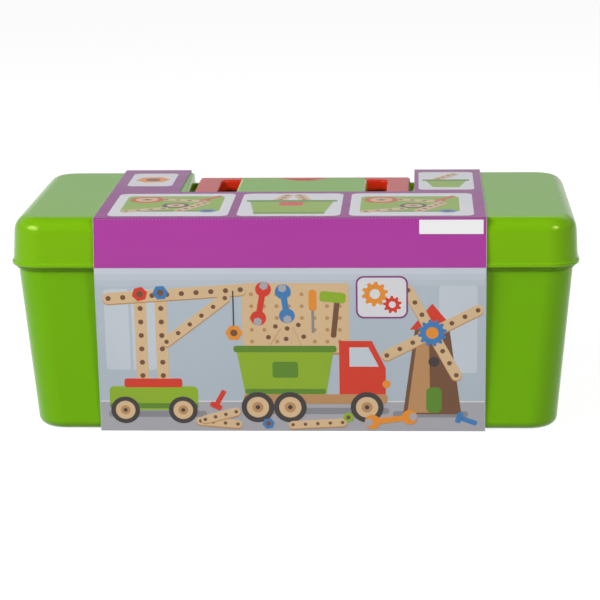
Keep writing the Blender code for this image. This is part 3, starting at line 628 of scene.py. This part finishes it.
class Sheet:
    """The print on one panel: a list of shapes, each one drawn over those before it."""

    def __init__(self, where):
        self.where = where
        self.shapes = []

    def add(self, ink, points):
        """A shape, one layer above the highest one whose extent it meets."""
        us, ws = [p[0] for p in points], [p[1] for p in points]
        reach = (min(us), max(us), min(ws), max(ws))
        under = [
            layer for layer, other, _, _ in self.shapes
            if reach[0] < other[1] and other[0] < reach[1]
            and reach[2] < other[3] and other[2] < reach[3]
        ]
        self.shapes.append((1 + max(under, default=-1), reach, ink, points))

    def shadow(self, centre, length):
        """The soft shadow of a toy on the table."""
        self.add("shade", oblong(centre, length, height=4.0, rounding=2.0))

    def bar(self, centre, length, degrees, holes, width=BAR_WIDTH):
        """A flat wooden bar with round ends and a row of holes."""
        low = (centre[0], centre[1] - BAR_SHADE_DROP)
        self.add("tan", oblong(low, length, width, width / 2, degrees))
        self.add("oak", oblong(centre, length, width, width / 2, degrees))
        pitch = (length - width) / max(1, holes - 1)
        for k in range(holes):
            x = -(length - width) / 2 + k * pitch
            hole = turned([(x, 0)], centre, degrees)[0]
            self.add("brown", disc(hole, width * BAR_HOLE_SHARE, HOLE_STEPS))

    def wheel(self, centre, radius, rim="dark"):
        """A toy wheel with its hub."""
        self.add(rim, disc(centre, radius))
        self.add("oak", disc(centre, radius * WHEEL_HUB_SHARE))
        self.add("tan", disc(centre, radius * WHEEL_NAVE_SHARE))
        self.add("dark", disc(centre, radius * WHEEL_AXLE_SHARE, AXLE_STEPS))

    def nut(self, centre, radius, ink, degrees=0):
        """A hexagon nut."""
        self.add(ink, turned(disc((0, 0), radius, NUT_SIDES), centre, degrees))
        self.add("brown", disc(centre, radius * NUT_HOLE_SHARE, HOLE_STEPS))

    def bolt(self, centre, length, degrees, ink):
        """A toy bolt with a hexagon head."""
        self.add(ink, oblong(centre, length, BOLT_SHAFT_WIDTH, BOLT_SHAFT_ROUND, degrees))
        head = turned([(-length / 2, 0)], centre, degrees)[0]
        self.add(ink, oblong(head, BOLT_HEAD_LENGTH, BOLT_HEAD_WIDTH, BOLT_HEAD_ROUND, degrees))

    def spanner(self, centre, length, degrees, ink):
        """A flat toy spanner."""
        self.add(ink, oblong(centre, length, SPANNER_WIDTH, SPANNER_ROUND, degrees))
        for side in (-1, 1):
            end = turned([(side * length / 2, 0)], centre, degrees)[0]
            self.add(ink, disc(end, SPANNER_HEAD_RADIUS, HEAD_STEPS))
            gap = turned([(side * (length / 2 + SPANNER_JAW_REACH), 0)], centre, degrees)[0]
            jaw = disc((0, 0), SPANNER_JAW_RADIUS, NUT_SIDES)
            self.add("table", turned(jaw, gap, degrees))


def sheet_mesh(sheet, name, materials):
    """The print of one panel as thin closed plates."""
    inks = []
    work = bmesh.new()
    for layer, _, ink, points in sheet.shapes:
        if ink not in inks:
            inks.append(ink)
        top_lift = INK_FIRST + INK_STEP * layer
        low = [work.verts.new(on_panel(sheet.where, p, INK_BOTTOM)) for p in points]
        high = [work.verts.new(on_panel(sheet.where, p, top_lift)) for p in points]
        faces = [work.faces.new(high), work.faces.new(low[::-1])]
        for k in range(len(points)):
            n = (k + 1) % len(points)
            faces.append(work.faces.new((low[k], low[n], high[n], high[k])))
        for made in faces:
            made.material_index = inks.index(ink)
    return worked_mesh(work, name, inks, materials)


def draw_board(sheet):
    """A board with rows of holes for the tools."""
    first, pitch = (90.5, 56.6), 7.3
    rows, columns = 5, 8
    sheet.add("tan", oblong((116, 70.4), width=62, height=44, rounding=2.4))
    sheet.add("oak", oblong((116, 71.2), width=62, height=43, rounding=2.4))
    for row in range(rows):
        for column in range(columns):
            hole = (first[0] + pitch * column, first[1] + pitch * row)
            sheet.add("tan", disc(hole, radius=1.2, steps=PEG_HOLE_STEPS))


def draw_background(sheet):
    """A pale room with windows and a board on its wall and a table top below. The wall's top is
    painted lighter in three bands, a painted highlight along the rim fold.
    """
    # Three ever lighter bands up to the rim fold: painted highlight, not part of the printed room.
    for ink, foot in (("pale_highlight_low", 91.0), ("pale_highlight_mid", 94.6), ("pale_highlight_top", 98.2)):
        height = WALL_TOP - foot
        sheet.add(ink, oblong((PICTURE_MIDDLE, foot + height / 2), WALL_WIDTH, height))
    left_window, right_window = (20, 64), (210, 64)
    sheet.add("mist", oblong(left_window, width=30, height=50, rounding=2))
    sheet.add("pale", oblong(left_window, width=1.6, height=50))
    draw_board(sheet)
    sheet.add("mist", oblong(right_window, width=22, height=54, rounding=2))
    sheet.add("table", oblong((PICTURE_MIDDLE, TABLE_MIDDLE), TABLE_WIDTH, TABLE_DEPTH))
    sheet.add("white", oblong((PICTURE_MIDDLE, TABLE_BACK), TABLE_WIDTH, height=0.7))


def draw_tools(sheet):
    """Tools that hang on the board: two spanners, a screwdriver and a hammer."""
    driver, hammer_lean = 126, -6
    sheet.spanner((96, 80), length=18, degrees=80, ink="poppy")
    sheet.spanner((110, 80), length=15, degrees=98, ink="sky")
    sheet.add("amber", oblong((driver, 82), width=4.6, height=13, rounding=2.0))
    sheet.add("shade", oblong((driver, 69), width=1.6, height=14))
    sheet.add("brown", oblong((139, 71), width=3.2, height=24, rounding=1.2, degrees=hammer_lean))
    sheet.add("leaf", oblong((137.6, 84), width=15, height=6.4, rounding=1.8, degrees=hammer_lean))


def draw_crane(sheet):
    """A toy crane built from bars with holes."""
    masts, mast_middle, mast_length = (26, 38), 52, 74
    cart, cart_width = 32, 52
    hook = 80
    sheet.shadow((34, 11), length=58)
    for x in masts:
        sheet.bar((x, mast_middle), mast_length, degrees=90, holes=9)
    sheet.bar((46, 86), length=84, degrees=4, holes=10)
    sheet.bar((58, 70), length=50, degrees=38, holes=6, width=6.0)
    sheet.add("leaf", oblong((cart, 21), cart_width, height=15, rounding=3.0))
    sheet.add("moss", oblong((cart, 16.2), cart_width, height=3.2, rounding=1.4))
    sheet.add("poppy", oblong((cart, 30.6), width=34, height=5.6, rounding=1.6))
    for x in (15, 49):
        sheet.wheel((x, 13.5), radius=8.5)
    sheet.add("dark", oblong((hook, 76), width=0.8, height=24))
    sheet.nut((hook, 62), radius=5.0, ink="amber")
    sheet.nut((26, 86), radius=4.6, ink="poppy", degrees=15)
    sheet.nut((38, 86.8), radius=4.6, ink="sky", degrees=5)


def draw_truck(sheet):
    """A toy truck with a load of bars."""
    load_width, tray = 6.4, 109.5
    sheet.shadow((128, 13), length=84)
    sheet.bar((98, 56), length=30, degrees=58, holes=4, width=load_width)
    sheet.bar((110, 55), length=26, degrees=84, holes=4, width=load_width)
    sheet.bar((122, 56), length=30, degrees=112, holes=4, width=load_width)
    sheet.add("leaf", [(86, 23), (133, 23), (138, 53), (81, 53)])
    sheet.add("moss", oblong((tray, 52), width=60, height=4.0, rounding=1.6))
    sheet.add("moss", oblong((tray, 25.4), width=47, height=3.2, rounding=1.2))
    sheet.add("moss", oblong((tray, 39), width=15, height=10, rounding=1.6))
    sheet.add("poppy", [(141, 23), (168, 23), (168, 40), (160, 57), (141, 57)])
    sheet.add("mist", [(147, 41), (164, 41), (158, 53), (147, 53)])
    sheet.add("tan", oblong((127, 20.6), width=84, height=6.0, rounding=1.8))
    for x in (93, 112, 157):
        sheet.wheel((x, 15.4), radius=9.6)
    sheet.add("amber", disc((168.4, 30), radius=2.4, steps=HOLE_STEPS))


def draw_windmill(sheet):
    """A toy windmill with sails of perforated bars."""
    axle = (195, 62)
    sheet.shadow((194, 11), length=44)
    sheet.add("brown", [(178, 11), (212, 11), (205, 64), (185, 64)])
    sheet.add("tan", [(180.5, 12), (194, 12), (193, 63), (187, 63)])
    sheet.add("poppy", [(182, 64), (208, 64), (195, 80)])
    sheet.add("moss", oblong((196, 20), width=9, height=16, rounding=3.0))
    sheet.add("dark", disc((196, 44), radius=3.2))
    for degrees in (28, 118):
        sheet.bar(axle, length=66, degrees=degrees, holes=8, width=6.4)
    sheet.add("sky", cog(axle, radius=8.4, teeth=12, depth=1.6))
    sheet.add("amber", disc(axle, radius=3.6))


def draw_foreground(sheet):
    """Loose parts that lie on the table."""
    sheet.bar((70, 5.6), length=27, degrees=-5, holes=4, width=5.0)
    sheet.bar((71, 10.0), length=24, degrees=15, holes=4, width=5.0)
    sheet.spanner((171, 7.6), length=22, degrees=8, ink="amber")
    sheet.bar((128, 5.0), length=34, degrees=3, holes=5, width=4.8)
    sheet.nut((99, 5.0), radius=3.6, ink="sky", degrees=10)
    sheet.bolt((71, 21.0), length=11, degrees=62, ink="poppy")
    sheet.nut((146, 9.0), radius=3.2, ink="leaf", degrees=25)
    sheet.bolt((216, 7.0), length=11, degrees=-20, ink="sky")


def draw_badge(sheet):
    """A plain badge with two toothed wheels."""
    middle = (166, 84)
    large, small = (162, 86), (172, 79.5)
    sheet.add("deep_purple", oblong(middle, width=30, height=26, rounding=4.6))
    sheet.add("white", oblong(middle, width=28, height=24, rounding=3.8))
    sheet.add("amber", cog(large, radius=7.6, teeth=10, depth=1.6))
    sheet.add("white", disc(large, radius=3.0))
    sheet.add("poppy", cog(small, radius=5.4, teeth=9, depth=1.3))
    sheet.add("white", disc(small, radius=2.0))


def front_picture():
    """The large picture below the rim fold."""
    sheet = Sheet(panel(FRONT_FOOT, FRONT_RIM))
    draw_background(sheet)
    draw_tools(sheet)
    draw_crane(sheet)
    draw_truck(sheet)
    draw_windmill(sheet)
    draw_foreground(sheet)
    draw_badge(sheet)
    return sheet


def front_band():
    """The purple band in front of the lid, with the marks along its upper fold."""
    first, pitch, height, marks = 2.5, 2.0, 28.2, 111
    sheet = Sheet(panel(FRONT_RIM, FRONT_TOP))
    for k in range(marks):
        mark = (first + pitch * k, height)
        sheet.add("lilac", oblong(mark, width=0.8, height=0.3, rounding=0.1))
    return sheet


def small_bench(sheet, left, front):
    """A green tray with a few parts in one of the small pictures on the top."""
    sheet.add("leaf", oblong((left + 32, front + 36), width=58, height=52, rounding=4.0))
    sheet.add("moss", oblong((left + 32, front + 11.5), width=54, height=3.6, rounding=1.4))
    sheet.bar((left + 17, front + 16), length=30, degrees=24, holes=4)
    sheet.bar((left + 30, front + 50), length=44, degrees=-16, holes=6)
    sheet.bar((left + 44, front + 26), length=34, degrees=62, holes=5)
    sheet.wheel((left + 15, front + 50), radius=10.0, rim="poppy")
    sheet.wheel((left + 34, front + 30), radius=8.0)
    sheet.nut((left + 54, front + 12), radius=5.4, ink="sky", degrees=12)
    sheet.bolt((left + 54, front + 56), length=17, degrees=60, ink="poppy")


def small_box(sheet, left, front):
    """A green crate with bars in one of the small pictures on the top."""
    width, height = 50, 44
    middle = left + width / 2
    sheet.bar((left + 18, front + 50), length=34, degrees=76, holes=5)
    sheet.bar((left + 32, front + 50), length=34, degrees=104, holes=5)
    sheet.add("leaf", crate(left, front, width, height))
    sheet.add("moss", oblong((middle, front + height), width=54, height=5.4, rounding=1.6))
    sheet.add("moss", oblong((middle, front + 4), width=42, height=3.6, rounding=1.4))
    sheet.add("poppy", oblong((middle, front + 34), width=14, height=12.0, rounding=1.6))


def crate(left, front, width, height):
    """A crate's side, wider at its top."""
    return [
        (left + CRATE_LEAN, front),
        (left + width - CRATE_LEAN, front),
        (left + width, front + height),
        (left, front + height),
    ]


def top_pictures():
    """White rounded pictures on the purple top, round the window."""
    sheet = Sheet(panel(FRONT_TOP, BACK_TOP))
    for left, width in ((7, 70), (82, 60), (147, 72)):
        sheet.add("white", oblong((left + width / 2, 44), width, height=76, rounding=5.0))
    small_bench(sheet, left=10, front=11)
    small_box(sheet, left=87, front=12)
    small_bench(sheet, left=150, front=9)
    right, left_nut = 204, (21, 134)
    sheet.add("white", oblong((right, 128), width=34, height=66, rounding=4.0))
    sheet.bar((right, 144), length=26, degrees=60, holes=4, width=6.4)
    sheet.add("leaf", crate(left=191, front=104, width=26, height=26))
    sheet.add("moss", oblong((right, 130), width=29, height=5.0, rounding=1.2))
    sheet.add("white", oblong(left_nut, width=28, height=48, rounding=4.0))
    sheet.nut(left_nut, radius=11.0, ink="amber", degrees=10)
    return sheet


def back_picture():
    """A quiet picture on the back."""
    large, small, bars = (44, 44), (80, 64), 166
    sheet = Sheet(panel(BACK_FOOT, BACK_STEP, from_behind=True))
    sheet.add("mist", oblong((58, 46), width=90, height=74, rounding=4))
    sheet.add("mist", oblong((bars, 46), width=96, height=74, rounding=4))
    sheet.add("leaf", cog(large, radius=24, teeth=14, depth=4))
    sheet.add("mist", disc(large, radius=9))
    sheet.add("amber", cog(small, radius=15, teeth=10, depth=3.4))
    sheet.add("mist", disc(small, radius=5.5))
    sheet.bar((bars, 62), length=84, degrees=8, holes=9)
    sheet.bar((bars, 44), length=70, degrees=-6, holes=8)
    sheet.bar((bars, 26), length=56, degrees=4, holes=6)
    for x, ink in ((128, "poppy"), (140, "sky"), (204, "leaf")):
        sheet.nut((x, 16), radius=4.6, ink=ink, degrees=x)
    return sheet


def make_sleeve(materials):
    """The card sleeve, its print and the blank label."""
    sleeve = placed("printed_sleeve", sleeve_mesh(materials))
    bind(sleeve, "sleeve", ("card_sleeve",))
    press_flat(sleeve)
    sheets = {
        "print_front": front_picture(),
        "print_band": front_band(),
        "print_top": top_pictures(),
        "print_back": back_picture(),
    }
    for name, sheet in sheets.items():
        piece = placed(name, sheet_mesh(sheet, name, materials))
        bind(piece, "sleeve")
        press_flat(piece)
    label = dressed("blank_label", "white_label", "sleeve", materials["paper"])
    press_flat(label)


def make_box(materials):
    """Tub, lid, handle, latch and hinge pins."""
    dressed("tub", "tub_shell", "box", materials["tub"], SHELL_SOFTNESS)
    dressed("lid", "lid_shell", "lid", materials["lid"], SHELL_SOFTNESS)
    dressed("handle", "carrying_handle", "handle", materials["red"])
    dressed("latch", "front_latch", "latch", materials["red"], LATCH_SOFTNESS)
    dressed("hinge_pin_left", "pin_left", "box", materials["steel"])
    dressed("hinge_pin_right", "pin_right", "box", materials["steel"])


def seen_share(tree):
    """One for camera, glossy and transmission rays, else zero."""
    path = tree.nodes.new("ShaderNodeLightPath")
    first = tree.nodes.new("ShaderNodeMath")
    first.operation = "MAXIMUM"
    second = tree.nodes.new("ShaderNodeMath")
    second.operation = "MAXIMUM"
    tree.links.new(path.outputs["Is Camera Ray"], first.inputs[0])
    tree.links.new(path.outputs["Is Glossy Ray"], first.inputs[1])
    tree.links.new(first.outputs[0], second.inputs[0])
    tree.links.new(path.outputs["Is Transmission Ray"], second.inputs[1])
    return second.outputs[0]


def seen_or_lit(tree, seen, lighting):
    """One shader where a surface is seen, another where it lights the object."""
    mix = tree.nodes.new("ShaderNodeMixShader")
    tree.links.new(seen_share(tree), mix.inputs["Fac"])
    tree.links.new(lighting.outputs[0], mix.inputs[1])
    tree.links.new(seen.outputs[0], mix.inputs[2])
    return mix.outputs[0]


def upward_ramp(tree):
    """The background's colours by how far the direction points up."""
    where = tree.nodes.new("ShaderNodeTexCoord")
    parts = tree.nodes.new("ShaderNodeSeparateXYZ")
    ramp = tree.nodes.new("ShaderNodeValToRGB")
    steps = ramp.color_ramp.elements
    while len(steps) < len(WORLD_STEPS):
        steps.new(0.5)
    for step, (upward, colour) in zip(steps, WORLD_STEPS):
        step.position = upward
        step.color = (*colour, 1)
    tree.links.new(where.outputs["Generated"], parts.inputs["Vector"])
    tree.links.new(parts.outputs["Z"], ramp.inputs["Fac"])
    return ramp.outputs["Color"]


def make_world():
    """A background, white at the horizon and grey above, that lights the object softly."""
    world = bpy.data.worlds.new("studio")
    bpy.context.scene.world = world
    world.use_nodes = True
    tree = world.node_tree
    tree.nodes.clear()
    seen = node(tree, "ShaderNodeBackground", Strength=1.0)
    tree.links.new(upward_ramp(tree), seen.inputs["Color"])
    light = node(
        tree, "ShaderNodeBackground", Color=WORLD_LIGHT_COLOUR, Strength=WORLD_LIGHT_STRENGTH
    )
    out = tree.nodes.new("ShaderNodeOutputWorld")
    tree.links.new(seen_or_lit(tree, seen, light), out.inputs["Surface"])


def floor_material():
    """White as it is seen, with the box's shadow, and a plain grey that lights the box."""
    material = bpy.data.materials.new("white_floor")
    material.use_nodes = True
    tree = material.node_tree
    tree.nodes.clear()
    plain = node(tree, "ShaderNodeBsdfDiffuse", Color=grey(FLOOR_GREY))
    shadowed = node(tree, "ShaderNodeBsdfDiffuse", Color=grey(FLOOR_SHADOW_GREY))
    glow = node(tree, "ShaderNodeEmission", Color=grey(1), Strength=FLOOR_GLOW)
    both = tree.nodes.new("ShaderNodeAddShader")
    out = tree.nodes.new("ShaderNodeOutputMaterial")
    tree.links.new(shadowed.outputs[0], both.inputs[0])
    tree.links.new(glow.outputs[0], both.inputs[1])
    tree.links.new(seen_or_lit(tree, both, plain), out.inputs["Surface"])
    return material


def make_floor():
    """A white floor that keeps the box's contact shadow."""
    mesh = bpy.data.meshes.new("floor")
    half = FLOOR_HALF
    corners = [(-half, -half, 0), (half, -half, 0), (half, half, 0), (-half, half, 0)]
    mesh.from_pydata(corners, [], [(0, 1, 2, 3)])
    mesh.materials.append(floor_material())
    placed("floor", mesh)


def softbox(name, place, size, power):
    """A studio lamp that looks at the object."""
    data = bpy.data.lights.new(name, "AREA")
    data.shape = "RECTANGLE"
    data.size, data.size_y = size
    data.energy = power
    lamp = placed(name, data)
    lamp.location = place
    look = Vector(LAMP_TARGET) - Vector(place)
    lamp.rotation_euler = look.to_track_quat("-Z", "Y").to_euler()


def make_lamps():
    """Softboxes in front to the left and the right, a large one above, a weak one behind."""
    for name, place, size, power in LAMPS:
        softbox(name, place, size, power)


def make_camera():
    """The camera that the photo was taken with."""
    pitch = math.radians(CAMERA_PITCH_DOWN)
    yaw = math.radians(CAMERA_YAW_LEFT)
    roll = math.radians(CAMERA_ROLL)
    ahead = Vector((
        -math.sin(yaw) * math.cos(pitch),
        math.cos(yaw) * math.cos(pitch),
        -math.sin(pitch),
    ))
    right = ahead.cross(Vector((0, 0, 1))).normalized()
    up = right.cross(ahead)
    rolled_right = right * math.cos(roll) + up * math.sin(roll)
    rolled_up = up * math.cos(roll) - right * math.sin(roll)
    data = bpy.data.cameras.new("photo_camera")
    data.lens = CAMERA_LENS_MM
    data.sensor_width = CAMERA_SENSOR_MM
    data.clip_start = CAMERA_NEAR
    data.clip_end = CAMERA_FAR
    camera = placed("photo_camera", data)
    turn = Matrix((rolled_right, rolled_up, -ahead)).transposed()
    camera.matrix_world = Matrix.Translation(CAMERA_PLACE) @ turn.to_4x4()
    bpy.context.scene.camera = camera


def main():
    """Builds the whole scene."""
    materials = make_materials()
    make_box(materials)
    make_sleeve(materials)
    make_world()
    make_floor()
    make_lamps()
    make_camera()
    bpy.context.scene.view_settings.view_transform = "Standard"


main()
